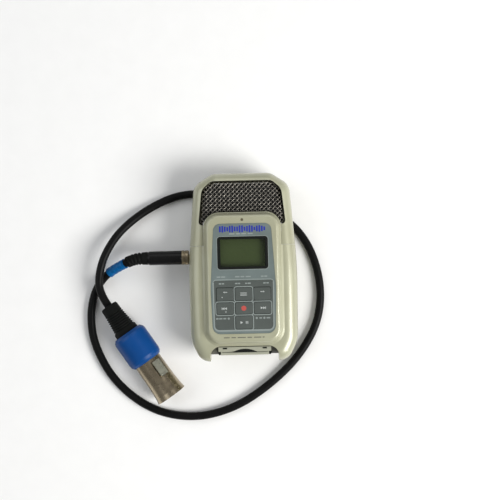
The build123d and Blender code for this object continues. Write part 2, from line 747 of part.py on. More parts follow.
lead_radii = corner_radii(lead_route)
start_direction = Vector(lead_route[1]) - Vector(lead_route[0])
with BuildPart() as lead_tube:
    with BuildLine() as lead_path:
        FilletPolyline(*lead_route, radius=lead_radii)
    with BuildSketch(Plane(origin=lead_route[0], z_dir=start_direction)):
        Circle(cord_diameter / 2)
    sweep()
save(lead_tube, "lead_tube")

lead_length = sum(edge.length for edge in lead_path.edges())
section_area = 3.14159265 * (cord_diameter / 2) ** 2
print("lead radii:", [round(radius, 1) for radius in lead_radii])
print("lead length:", round(lead_length, 1), "mm")
print("lead volume / (section x length):", round(lead_tube.part.volume / (section_area * lead_length), 4))

sleeve_before = 6.2
sleeve_after = 6.0
sleeve_corner = Vector(lead_route[1])
sleeve_start = sleeve_corner - start_direction.normalized() * sleeve_before
sleeve_end = sleeve_corner + (Vector(lead_route[2]) - sleeve_corner).normalized() * sleeve_after
with BuildPart() as marker_sleeve:
    with BuildLine():
        FilletPolyline(sleeve_start, sleeve_corner, sleeve_end, radius=lead_radii[0])
    with BuildSketch(Plane(origin=sleeve_start, z_dir=start_direction)):
        Circle(3.1)
        Circle(cord_diameter / 2 + 0.02, mode=Mode.SUBTRACT)
    sweep()
save(marker_sleeve, "marker_sleeve")

# ---------------------------------------------------------------- three-pin connector
xlr_direction = (Vector(lead_route[-1]) - Vector(lead_route[-2])).normalized()
boot_length = 19.5
ring_length = 20.7
shell_length = 25.0
boot_start = Vector(lead_route[-1])
ring_start = boot_start + xlr_direction * boot_length
shell_start = ring_start + xlr_direction * ring_length

with BuildPart() as xlr_boot:
    add(turned(boot_start, xlr_direction, [(0.0, 4.4), (0.8, 5.2), (12.0, 6.5), (boot_length, 7.5)]))
save(xlr_boot, "xlr_boot")

with BuildPart() as xlr_ring:
    ring_profile = [(0.0, 8.6), (1.6, 10.0), (3.2, 10.4), (17.6, 10.4), (19.3, 10.0), (ring_length, 8.9)]
    add(turned(ring_start, xlr_direction, ring_profile))
save(xlr_ring, "xlr_ring")

latch_tilt = -34
latch_out = Vector(0, 0, 1).rotate(Axis((0, 0, 0), tuple(xlr_direction)), latch_tilt)
latch_plane = Plane(origin=shell_start, x_dir=xlr_direction, z_dir=latch_out)
with BuildPart() as latch_pocket:
    with BuildSketch(latch_plane.offset(6.9)):
        with Locations((7.1, 0)):
            Rectangle(10.6, 5.8)
    extrude(amount=5.0)

with BuildPart() as xlr_shell:
    shell_profile = [(0.0, 8.25), (15.0, 8.45), (22.0, 8.9), (shell_length, 9.4)]
    shell_profile += [(shell_length, 8.7), (6.0, 7.7)]
    add(turned(shell_start, xlr_direction, shell_profile))
    add(latch_pocket.part, mode=Mode.SUBTRACT)
save(xlr_shell, "xlr_shell")

with BuildPart() as xlr_latch:
    with BuildSketch(latch_plane.offset(7.75)):
        with Locations((7.1, 0)):
            RectangleRounded(10.0, 5.2, 0.6)
    extrude(amount=1.5)
save(xlr_latch, "xlr_latch")

with BuildPart() as xlr_insert:
    add(turned(shell_start + xlr_direction * 6.0, xlr_direction, [(0.0, 6.5), (2.5, 6.5)]))
save(xlr_insert, "xlr_insert")

pin_circle = 4.1
with BuildPart() as xlr_contacts:
    for angle in (0, 120, 240):
        offset_from_axis = latch_out.rotate(Axis((0, 0, 0), tuple(xlr_direction)), angle) * pin_circle
        contact_start = shell_start + xlr_direction * 8.5 + offset_from_axis
        add(turned(contact_start, xlr_direction, [(0.0, 1.2), (12.4, 1.2), (13.6, 0.6)]))
save(xlr_contacts, "xlr_contacts")
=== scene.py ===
"""A pocket stereo field recorder with its adapter lead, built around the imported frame."""

import math

import bmesh
import bpy
from mathutils import Matrix, Vector


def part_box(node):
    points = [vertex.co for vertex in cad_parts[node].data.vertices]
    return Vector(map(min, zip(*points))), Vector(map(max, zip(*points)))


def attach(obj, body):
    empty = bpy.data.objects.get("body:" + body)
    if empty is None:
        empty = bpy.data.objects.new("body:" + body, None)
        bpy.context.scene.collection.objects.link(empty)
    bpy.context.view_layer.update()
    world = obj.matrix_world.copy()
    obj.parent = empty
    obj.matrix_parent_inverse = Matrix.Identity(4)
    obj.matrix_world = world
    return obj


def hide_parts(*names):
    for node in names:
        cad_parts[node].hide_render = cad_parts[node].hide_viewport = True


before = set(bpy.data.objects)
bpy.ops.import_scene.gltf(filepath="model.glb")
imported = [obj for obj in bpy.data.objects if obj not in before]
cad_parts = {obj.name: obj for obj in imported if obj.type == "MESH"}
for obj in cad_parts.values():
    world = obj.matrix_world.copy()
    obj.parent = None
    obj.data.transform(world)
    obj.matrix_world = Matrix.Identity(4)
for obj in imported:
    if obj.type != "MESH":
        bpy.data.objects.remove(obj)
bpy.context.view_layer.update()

bl_info = {
    "name": "Field recorder builder",
    "version": (1, 0, 0),
    "blender": (4, 5, 0),
    "location": "View3D > Sidebar > Recorder",
    "description": "Builds the looks of a pocket field recorder around its CAD frame",
    "category": "Object",
}

MM = 0.001
FINISH_PREFIX = "finish_"
WHITE = (1.0, 1.0, 1.0)
ROUND_ANGLE = 60.0  # degrees, up to which the edges of round pieces are shaded smooth
BOOT_ANGLE = 45.0  # the same for the boot, whose collar keeps a crisper edge
SAME_PLACE = 1e-14  # square metres, below which two points of an outline are one


# ------------------------------------------------------------------ settings
def length_setting(name, description, default):
    """A size in metres that a user may change."""
    return bpy.props.FloatProperty(
        name=name, description=description, default=default, unit="LENGTH", precision=5
    )


def colour_setting(name, description, default):
    """A colour that a user may change."""
    return bpy.props.FloatVectorProperty(
        name=name, description=description, default=default,
        subtype="COLOR", size=3, min=0.0, max=1.0,
    )


class RecorderColours(bpy.types.PropertyGroup):
    """The recorder's main colours."""

    shell: colour_setting("Shell", "Pearl lacquer of the shells", (0.425, 0.43, 0.31))
    shell_shade: colour_setting("Shell shade", "Deeper tone in the lacquer", (0.365, 0.36, 0.245))
    faceplate: colour_setting("Faceplate", "Panel round the display", (0.135, 0.168, 0.165))
    keypad: colour_setting("Keypad", "Keys and mask", (0.066, 0.078, 0.072))
    line: colour_setting("Lines", "Raised lines and symbols", (0.24, 0.275, 0.265))
    display: colour_setting("Display", "Unlit display", (0.062, 0.088, 0.030))
    mark: colour_setting("Level mark", "Blue level bars above the display", (0.012, 0.024, 0.30))
    ring: colour_setting("Connector ring", "Blue ring of the connector", (0.0012, 0.052, 0.215))
    tape: colour_setting("Marker tape", "Blue tape on the lead", (0.001, 0.100, 0.30))
    lead: colour_setting("Lead", "Jacket of the lead", (0.004, 0.004, 0.004))
    nickel: colour_setting("Nickel", "Connector shell", (0.40, 0.335, 0.235))


class RecorderSizes(bpy.types.PropertyGroup):
    """Sizes of the pieces that are made here."""

    wire_pitch: length_setting("Wire pitch", "Distance between grille wires", 1.83 * MM)
    wire_radius: length_setting("Wire radius", "Half the thickness of a grille wire", 0.20 * MM)
    lead_diameter: length_setting("Lead diameter", "Outside diameter of the lead", 4.8 * MM)
    symbol_height: length_setting("Symbol height", "How far printed symbols stand proud", 0.02 * MM)
    camera_height: length_setting("Camera height", "Height of the camera above the table", 0.6)


# ------------------------------------------------------------------ material helpers
def new_material(name):
    """A fresh node material, with its shader and its object coordinates."""
    material = bpy.data.materials.new(FINISH_PREFIX + name)
    material.use_nodes = True
    nodes = material.node_tree.nodes
    coordinates = nodes.new("ShaderNodeTexCoord")
    return material, nodes["Principled BSDF"], coordinates.outputs["Object"]


def add_noise(material, coordinates, scale, detail=3.0, roughness=0.5):
    """A noise pattern fixed to the object."""
    noise = material.node_tree.nodes.new("ShaderNodeTexNoise")
    noise.inputs["Scale"].default_value = scale
    noise.inputs["Detail"].default_value = detail
    noise.inputs["Roughness"].default_value = roughness
    material.node_tree.links.new(coordinates, noise.inputs["Vector"])
    return noise.outputs["Fac"]


def add_ramp(material, factor, stops):
    """A colour ramp with (place, colour) stops."""
    ramp = material.node_tree.nodes.new("ShaderNodeValToRGB")
    elements = ramp.color_ramp.elements
    while len(elements) < len(stops):
        elements.new(0.5)
    for element, (place, colour) in zip(elements, stops):
        element.position = place
        element.color = (*colour, 1.0)
    material.node_tree.links.new(factor, ramp.inputs["Fac"])
    return ramp.outputs["Color"]


def add_bump(material, shader, heights, before=None):
    """Surface relief from (height, depth in metres) pairs, one on top of the other."""
    links = material.node_tree.links
    normal = before
    for height, distance in heights:
        bump = material.node_tree.nodes.new("ShaderNodeBump")
        bump.inputs["Strength"].default_value = 1.0
        bump.inputs["Distance"].default_value = distance
        links.new(height, bump.inputs["Height"])
        if normal is not None:
            links.new(normal, bump.inputs["Normal"])
        normal = bump.outputs["Normal"]
    links.new(normal, shader.inputs["Normal"])
    return normal


def vary_roughness(material, shader, factor, low, high):
    """Roughness that wanders between two values."""
    span = material.node_tree.nodes.new("ShaderNodeMapRange")
    span.inputs["From Min"].default_value = 0.3
    span.inputs["From Max"].default_value = 0.7
    span.inputs["To Min"].default_value = low
    span.inputs["To Max"].default_value = high
    material.node_tree.links.new(factor, span.inputs["Value"])
    material.node_tree.links.new(span.outputs["Result"], shader.inputs["Roughness"])


def add_product(material, share, first, second):
    """Two colours multiplied, with the second one's share."""
    mix = material.node_tree.nodes.new("ShaderNodeMix")
    mix.data_type = "RGBA"
    mix.blend_type = "MULTIPLY"
    mix.inputs["Factor"].default_value = share
    material.node_tree.links.new(first, mix.inputs["A"])
    material.node_tree.links.new(second, mix.inputs["B"])
    return mix.outputs["Result"]


def add_bricks(material, coordinates, colours, width, height, gap):
    """A brick pattern with a pair of brick colours and a joint colour, sizes in metres."""
    bricks = material.node_tree.nodes.new("ShaderNodeTexBrick")
    for socket, colour in zip(("Color1", "Color2", "Mortar"), colours):
        bricks.inputs[socket].default_value = (*colour, 1.0)
    bricks.inputs["Scale"].default_value = 1.0
    bricks.inputs["Brick Width"].default_value = width
    bricks.inputs["Row Height"].default_value = height
    bricks.inputs["Mortar Size"].default_value = gap
    material.node_tree.links.new(coordinates, bricks.inputs["Vector"])
    return bricks


def scaled(colour, factor):
    """A colour made darker or lighter."""
    return tuple(min(1.0, channel * factor) for channel in colour)


def mottle(material, shader, cloud, colour, darker, lighter):
    """Base colour that wanders between two multiples of a colour."""
    stops = [(0.3, scaled(colour, darker)), (0.7, scaled(colour, lighter))]
    material.node_tree.links.new(add_ramp(material, cloud, stops), shader.inputs["Base Color"])


def moulded_plastic(
    name, colour, roughness=(0.35, 0.5), grain=0.00001, variation=0.08,
    coat=0.0, grain_scale=2600, shine=0.5,
):
    """Moulded plastic: slight mottling, fine spark-eroded grain, handling marks in the gloss."""
    material, shader, coordinates = new_material(name)
    cloud = add_noise(material, coordinates, scale=90.0, detail=4.0)
    mottle(material, shader, cloud, colour, 1 - variation, 1 + variation)
    handling = add_noise(material, coordinates, scale=320.0, detail=5.0, roughness=0.6)
    vary_roughness(material, shader, handling, *roughness)
    grain_noise = add_noise(material, coordinates, scale=grain_scale, detail=2.0)
    add_bump(material, shader, [(grain_noise, grain)])
    shader.inputs["Coat Weight"].default_value = coat
    shader.inputs["Coat Roughness"].default_value = 0.12
    shader.inputs["Specular IOR Level"].default_value = shine
    return material


def pearl_lacquer(name, colour, shade):
    """Pearl lacquer over plastic: a soft metallic flake under a clear coat."""
    material, shader, coordinates = new_material(name)
    cloud = add_noise(material, coordinates, scale=35.0, detail=3.0)
    flake = add_noise(material, coordinates, scale=6500.0, detail=1.0)
    lacquer = add_ramp(material, cloud, [(0.25, shade), (0.75, colour)])
    sparkle = add_ramp(material, flake, [(0.35, (0.72, 0.72, 0.70)), (0.65, WHITE)])
    product = add_product(material, 0.22, lacquer, sparkle)
    material.node_tree.links.new(product, shader.inputs["Base Color"])
    handling = add_noise(material, coordinates, scale=240.0, detail=5.0)
    vary_roughness(material, shader, handling, low=0.34, high=0.46)
    ripple = add_noise(material, coordinates, scale=420.0, detail=2.0)
    add_bump(material, shader, [(ripple, 0.000006)])
    shader.inputs["Metallic"].default_value = 0.15
    shader.inputs["Coat Weight"].default_value = 0.7
    shader.inputs["Coat Roughness"].default_value = 0.13
    return material


def worn_metal(name, colour, roughness=(0.22, 0.38), scratch=0.000004, variation=0.12):
    """Plated or turned metal with fine scratches and a slightly uneven tone."""
    material, shader, coordinates = new_material(name)
    cloud = add_noise(material, coordinates, scale=150.0, detail=6.0, roughness=0.65)
    mottle(material, shader, cloud, colour, 1 - variation, 1 + variation)
    wear = add_noise(material, coordinates, scale=700.0, detail=6.0, roughness=0.7)
    vary_roughness(material, shader, wear, *roughness)
    scratches = add_noise(material, coordinates, scale=1500.0, detail=6.0, roughness=0.8)
    add_bump(material, shader, [(scratches, scratch)])
    shader.inputs["Metallic"].default_value = 1.0
    return material


def soft_rubber(name, colour, roughness=(0.55, 0.72)):
    """Soft cable rubber with a faint bloom."""
    material = moulded_plastic(
        name, colour, roughness, grain=0.000012, variation=0.18, grain_scale=1800, shine=0.10
    )
    material.node_tree.nodes["Principled BSDF"].inputs["Sheen Weight"].default_value = 0.02
    return material


def open_foam(name, colour):
    """Open-cell foam behind the grilles, each cell darker towards its pit and lighter on its walls:
    painted shade.
    """
    material, shader, coordinates = new_material(name)
    cells = material.node_tree.nodes.new("ShaderNodeTexVoronoi")
    cells.inputs["Scale"].default_value = 1900.0
    links = material.node_tree.links
    links.new(coordinates, cells.inputs["Vector"])
    # painted shade: the cells darken towards the bottom of each pit, where the bump sinks
    stops = [(0.1, scaled(colour, 0.3)), (0.7, scaled(colour, 1.5))]
    pore_shade_colour = add_ramp(material, cells.outputs["Distance"], stops)
    links.new(pore_shade_colour, shader.inputs["Base Color"])
    add_bump(material, shader, [(cells.outputs["Distance"], 0.0002)])
    shader.inputs["Roughness"].default_value = 0.95
    return material


def display_glass(name, colour):
    """Unlit reflective display: olive, with the faint grid of its segments."""
    material, shader, coordinates = new_material(name)
    cell = 0.0004
    tones = (colour, scaled(colour, 1.03), scaled(colour, 0.88))
    grid = add_bricks(material, coordinates, tones, width=cell, height=cell, gap=0.00004)
    grid.offset = 0.0
    cloud = add_noise(material, coordinates, scale=60.0, detail=2.0)
    haze = add_ramp(material, cloud, [(0.3, (0.82, 0.84, 0.8)), (0.7, WHITE)])
    product = add_product(material, 0.5, grid.outputs["Color"], haze)
    material.node_tree.links.new(product, shader.inputs["Base Color"])
    shader.inputs["Roughness"].default_value = 0.3
    return material


def clear_window(name):
    """The clear window over the display, faintly tinted and finely scratched."""
    material, shader, coordinates = new_material(name)
    scratches = add_noise(material, coordinates, scale=900.0, detail=6.0, roughness=0.8)
    add_bump(material, shader, [(scratches, 0.0000015)])
    shader.inputs["Base Color"].default_value = (0.02, 0.025, 0.02, 1.0)
    shader.inputs["Roughness"].default_value = 0.06
    shader.inputs["Specular IOR Level"].default_value = 0.3
    shader.inputs["Alpha"].default_value = 0.10
    return material


def circuit_board(name, colour):
    """Solder-masked board with the shadow of its tracks."""
    material, shader, coordinates = new_material(name)
    tones = (colour, scaled(colour, 1.25), scaled(colour, 0.6))
    tracks = add_bricks(material, coordinates, tones, width=0.004, height=0.0012, gap=0.00015)
    material.node_tree.links.new(tracks.outputs["Color"], shader.inputs["Base Color"])
    add_bump(material, shader, [(tracks.outputs["Fac"], 0.00003)])
    shader.inputs["Roughness"].default_value = 0.35
    return material


def wound_tape(name, colour):
    """Glossy tape wound round the lead, with soft overlaps and creases, its colour darker in the
    crease hollows and lighter on the ridges: painted shade and highlight.
    """
    material, shader, coordinates = new_material(name)
    crease_relief_and_shade = add_noise(material, coordinates, scale=380.0, detail=4.0, roughness=0.6)
    # the crease relief also sets the colour: painted shade in the hollows, painted highlight on the
    # ridges
    mottle(material, shader, crease_relief_and_shade, colour, 0.7, 1.25)
    add_bump(material, shader, [(crease_relief_and_shade, 0.00006)])
    shader.inputs["Roughness"].default_value = 0.34
    shader.inputs["Specular IOR Level"].default_value = 0.25
    return material


def dented_nickel(name, colour):
    """Thin nickel plate that has been handled: soft dents, dark stains, bright rubbed spots."""
    material, shader, coordinates = new_material(name)
    stains = add_noise(material, coordinates, scale=40.0, detail=2.0, roughness=0.4)
    stops = [(0.34, scaled(colour, 0.85)), (0.5, colour), (0.68, scaled(colour, 1.12))]
    material.node_tree.links.new(add_ramp(material, stains, stops), shader.inputs["Base Color"])
    wear = add_noise(material, coordinates, scale=330.0, detail=4.0, roughness=0.6)
    vary_roughness(material, shader, wear, low=0.24, high=0.34)
    dents = add_noise(material, coordinates, scale=70.0, detail=1.0)
    scratches = add_noise(material, coordinates, scale=1600.0, detail=6.0, roughness=0.8)
    add_bump(material, shader, [(dents, 0.0003), (scratches, 0.000003)])
    shader.inputs["Metallic"].default_value = 1.0
    return material


# ------------------------------------------------------------------ modelling helpers
def deselect_all():
    """Nothing selected, in object mode."""
    if bpy.context.object and bpy.context.object.mode != "OBJECT":
        bpy.ops.object.mode_set(mode="OBJECT")
    bpy.ops.object.select_all(action="DESELECT")


def make_active(piece):
    """Only this object selected and active."""
    deselect_all()
    piece.select_set(True)
    bpy.context.view_layer.objects.active = piece


def settle(piece):
    """Put an object's place, turn and scale into its mesh."""
    make_active(piece)
    bpy.ops.object.transform_apply(location=True, rotation=True, scale=True)


def joined(parts, name):
    """Several objects as one piece."""
    deselect_all()
    for part in parts:
        part.select_set(True)
    bpy.context.view_layer.objects.active = parts[0]
    if len(parts) > 1:
        bpy.ops.object.join()
    parts[0].name = name
    return parts[0]


def new_object(name, data):
    """A new object in the scene that shows this data."""
    thing = bpy.data.objects.new(name, data)
    bpy.context.scene.collection.objects.link(thing)
    return thing


def object_from(name, mesh):
    """A new object made of an edit mesh, which is freed."""
    data = bpy.data.meshes.new(name)
    mesh.to_mesh(data)
    mesh.free()
    return new_object(name, data)


def thicken(height):
    """Raise the flat face in edit mode into a thin plate with outward faces."""
    bpy.ops.object.mode_set(mode="EDIT")
    bpy.ops.mesh.select_all(action="SELECT")
    bpy.ops.mesh.extrude_region_move(TRANSFORM_OT_translate={"value": (0, 0, height)})
    bpy.ops.mesh.select_all(action="SELECT")
    bpy.ops.mesh.normals_make_consistent(inside=False)
    bpy.ops.object.mode_set(mode="OBJECT")


def flat_bar(x, y, z, width, depth, height):
    """A thin bar with softened corners."""
    deselect_all()
    bpy.ops.mesh.primitive_plane_add(size=1.0, location=(x, y, z))
    bar = bpy.context.object
    bar.scale = (width, depth, 1.0)
    settle(bar)
    bpy.ops.object.mode_set(mode="EDIT")
    bpy.ops.mesh.select_all(action="SELECT")
    bpy.ops.mesh.bevel(offset=min(width, depth) * 0.3, segments=3, affect="VERTICES")
    bpy.ops.object.mode_set(mode="OBJECT")
    thicken(height)
    return bar


def flat_polygon(x, y, z, radius, sides, turn, height):
    """A thin disc or triangle, turned by an angle."""
    deselect_all()
    bpy.ops.mesh.primitive_circle_add(
        vertices=sides, radius=radius, fill_type="NGON", location=(x, y, z), rotation=(0, 0, turn)
    )
    shape = bpy.context.object
    settle(shape)
    thicken(height)
    return shape


def flat_outline(name, outline, z, height):
    """A thin plate with a given closed outline, anticlockwise, in metres."""
    mesh = bmesh.new()
    mesh.faces.new([mesh.verts.new((point.x, point.y, z)) for point in outline])
    plate = object_from(name, mesh)
    make_active(plate)
    thicken(height)
    return plate


def outline_ribbon(name, outline, width, z, height):
    """A thin raised line along the inside of a closed outline given in metres."""
    mesh = bmesh.new()
    outer, inner = [], []
    count = len(outline)
    for index, point in enumerate(outline):
        along = (outline[(index + 1) % count] - outline[index - 1]).normalized()
        inward = Vector((-along.y, along.x))
        outer.append(mesh.verts.new((point.x, point.y, z)))
        inner.append(mesh.verts.new((*(point + inward * width), z)))
    for index in range(count):
        following = (index + 1) % count
        mesh.faces.new((outer[index], outer[following], inner[following], inner[index]))
    ribbon = object_from(name, mesh)
    make_active(ribbon)
    thicken(height)
    return ribbon


def rounded_box_outline(low, high, grow, radius):
    """The outline of a rounded rectangle round a box, in metres."""
    left, right = low[0] - grow, high[0] + grow
    bottom, top = low[1] - grow, high[1] + grow
    corners = [(left, bottom), (right, bottom), (right, top), (left, top)]
    return rounded_outline(corners, [radius] * 4)


def material_named(name):
    """A finish made by the finishes operator."""
    return bpy.data.materials[FINISH_PREFIX + name]


def finish_piece(piece, body, finish, smooth_angle=35.0):
    """Shade a piece, give it its finish, and tie it to its body."""
    make_active(piece)
    bpy.ops.object.shade_smooth_by_angle(angle=math.radians(smooth_angle))
    piece.data.materials.clear()
    piece.data.materials.append(material_named(finish))
    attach(piece, body)


# ------------------------------------------------------------------ shapes along paths
def rounded_outline(corners, radii, steps=8):
    """Points round a closed outline, anticlockwise, its corners rounded by arcs."""
    points = []
    count = len(corners)
    for index, (corner, radius) in enumerate(zip(corners, radii)):
        here = Vector(corner)
        towards = (Vector(corners[index - 1]) - here).normalized()
        onwards = (Vector(corners[(index + 1) % count]) - here).normalized()
        half = towards.angle(onwards) / 2
        centre = here + (towards + onwards).normalized() * radius / math.sin(half)
        start = here + towards * radius / math.tan(half) - centre
        finish = here + onwards * radius / math.tan(half) - centre
        turn = start.angle_signed(finish)
        for step in range(steps + 1):
            arm = start.copy()
            arm.rotate(Matrix.Rotation(-turn * step / steps, 2))
            points.append(centre + arm)
    return points


def in_metres(outline):
    """An outline in millimetres made one in metres."""
    return [point * MM for point in outline]


def depth_inside(point, outline):
    """How far a point lies inside a closed outline; negative outside."""
    nearest = 1.0
    inside = False
    for index, start in enumerate(outline):
        end = outline[(index + 1) % len(outline)]
        along = end - start
        if along.length_squared < SAME_PLACE:
            continue
        share = max(0.0, min(1.0, (point - start).dot(along) / along.length_squared))
        nearest = min(nearest, (point - start - along * share).length)
        if (start.y > point.y) != (end.y > point.y):
            if point.x < start.x + (point.y - start.y) / (end.y - start.y) * (end.x - start.x):
                inside = not inside
    return nearest if inside else -nearest


def both_sides(corners):
    """A symmetrical outline, anticlockwise, from its right half, top to bottom."""
    return corners[::-1] + [(-x, y) for x, y in corners]


def turned_piece(name, start, direction, profile, segments=64):
    """A piece spun round an axis from (distance, radius) points, like lathe work."""
    deselect_all()
    bpy.ops.mesh.primitive_plane_add(size=1.0)
    piece = bpy.context.object
    piece.name = name
    mesh = bmesh.new()
    points = [mesh.verts.new((radius, 0.0, distance)) for distance, radius in profile]
    for lower, upper in zip(points, points[1:]):
        mesh.edges.new((lower, upper))
    mesh.to_mesh(piece.data)
    mesh.free()
    bpy.ops.object.mode_set(mode="EDIT")
    bpy.ops.mesh.select_all(action="SELECT")
    bpy.ops.mesh.spin(steps=segments, angle=2 * math.pi, center=(0, 0, 0), axis=(0, 0, 1))
    bpy.ops.mesh.select_all(action="SELECT")
    bpy.ops.mesh.remove_doubles(threshold=0.000002)
    bpy.ops.mesh.normals_make_consistent(inside=False)
    bpy.ops.object.mode_set(mode="OBJECT")
    aim = Vector((0, 0, 1)).rotation_difference(Vector(direction)).to_matrix().to_4x4()
    piece.data.transform(Matrix.Translation(start) @ aim)
    return piece


def path_frames(points):
    """At each point of a path: the point and two axes square to the path that don't twist."""
    frames = []
    side = None
    for index, point in enumerate(points):
        ahead = points[min(index + 1, len(points) - 1)] - points[max(index - 1, 0)]
        ahead.normalize()
        if side is None:
            side = ahead.cross(Vector((0, 0, 1))).normalized()
        side = (side - ahead * side.dot(ahead)).normalized()
        frames.append((point, side, ahead.cross(side)))
    return frames


def piped_piece(name, points, radius_at, segments=40):
    """A closed tube along a path whose radius follows the distance along it."""
    mesh = bmesh.new()
    rings = []
    travelled = 0.0
    frames = path_frames(points)
    for index, (point, side, up) in enumerate(frames):
        if index:
            travelled += (point - frames[index - 1][0]).length
        radius = radius_at(travelled)
        ring = []
        for step in range(segments):
            angle = 2 * math.pi * step / segments
            arm = side * math.cos(angle) + up * math.sin(angle)
            ring.append(mesh.verts.new(point + arm * radius))
        rings.append(ring)
    for lower, upper in zip(rings, rings[1:]):
        for step in range(segments):
            following = (step + 1) % segments
            mesh.faces.new((lower[step], lower[following], upper[following], upper[step]))
    mesh.faces.new(rings[0][::-1])
    mesh.faces.new(rings[-1])
    bmesh.ops.recalc_face_normals(mesh, faces=mesh.faces)
    return object_from(name, mesh)


def groove_share(share):
    """How deep a rounded groove is, from 0 to 1, at a share of the way across one rib."""
    return (0.5 - 0.5 * math.cos(2 * math.pi * share)) ** 2


def ribbed(start_radius, end_radius, length, pitch, groove, plain):
    """A tapering radius with rounded ribs after a plain stretch, for a strain relief."""

    def radius_at(distance):
        share = min(1.0, max(0.0, distance / length))
        radius = start_radius + (end_radius - start_radius) * share
        if plain < distance < length - pitch * 0.4:
            radius -= groove * groove_share(((distance - plain) % pitch) / pitch)
        return radius

    return radius_at


# ------------------------------------------------------------------ the lead's route
# The control points of the lead's middle line, in millimetres, from the plug to the connector.
LEAD_ROUTE = [
    (-68.0, 4.6, 11.8),
    (-76.0, 1.2, 7.4),
    (-84.5, -4.6, 3.3),
    (-90.5, -13.8, 2.4),
    (-93.2, -28.0, 2.4),
    (-91.2, -45.5, 2.4),
    (-79.5, -68.0, 2.4),
    (-58.0, -85.5, 2.4),
    (-33.0, -91.2, 2.4),
    (-8.0, -86.0, 2.4),
    (14.5, -72.0, 2.4),
    (33.5, -54.0, 2.4),
    (45.5, -32.5, 2.4),
    (46.8, -8.5, 2.4),
    (38.8, 15.5, 2.4),
    (24.0, 30.5, 2.4),
    (1.5, 38.0, 2.4),
    (-19.0, 44.2, 2.4),
    (-37.5, 44.6, 2.4),
    (-57.0, 36.3, 2.4),
    (-73.5, 23.5, 6.0),
    (-82.5, 9.5, 10.5),
    (-86.4, -3.5, 10.6),
    (-85.93, -14.14, 10.5),
    (-80.9, -21.6, 10.5),
]
LEAD_PIECES = ("plug_relief_ribbed", "marker_tape_sleeve", "connector_boot")
LEAD_NODES = (
    "plug_pin", "plug_collar", "plug_barrel", "xlr_ring", "xlr_shell", "xlr_insert",
    "xlr_contacts", "xlr_latch",
)


def route_spline(name):
    """The lead's smooth line as a curve with no thickness."""
    curve = bpy.data.curves.new(name, "CURVE")
    curve.dimensions = "3D"
    spline = curve.splines.new("NURBS")
    spline.points.add(len(LEAD_ROUTE) - 1)
    for point, place in zip(spline.points, LEAD_ROUTE):
        point.co = (*(c * MM for c in place), 1.0)
    spline.order_u = 3
    spline.use_endpoint_u = True
    spline.resolution_u = 12
    return curve


def route_points():
    """Points read from the lead's smooth line."""
    holder = new_object("route_line", route_spline("route_line"))
    bpy.context.view_layer.update()
    line = bpy.data.meshes.new_from_object(holder)
    points = [vertex.co.copy() for vertex in line.vertices]
    bpy.data.objects.remove(holder)
    bpy.data.meshes.remove(line)
    return points


def stretch_of(points, start, finish):
    """The part of a path between two distances along it."""
    chosen = []
    travelled = 0.0
    for before, after in zip(points, points[1:]):
        step = (after - before).length
        for distance in (start, finish):
            if travelled <= distance < travelled + step:
                chosen.append((distance, before.lerp(after, (distance - travelled) / step)))
        travelled += step
        if start < travelled < finish:
            chosen.append((travelled, after.copy()))
    return [point for _, point in sorted(chosen, key=lambda pair: pair[0])]


def path_length(points):
    """The length of a path through these points."""
    return sum((after - before).length for before, after in zip(points, points[1:]))


def resampled(points, spacing):
    """The same path with evenly spaced points."""
    total = path_length(points)
    count = max(2, round(total / spacing))
    result = [points[0].copy()]
    travelled = 0.0
    target = total / count
    for before, after in zip(points, points[1:]):
        step = (after - before).length
        while len(result) < count and travelled + step >= target * len(result):
            result.append(before.lerp(after, (target * len(result) - travelled) / step))
        travelled += step
    result.append(points[-1].copy())
    return result


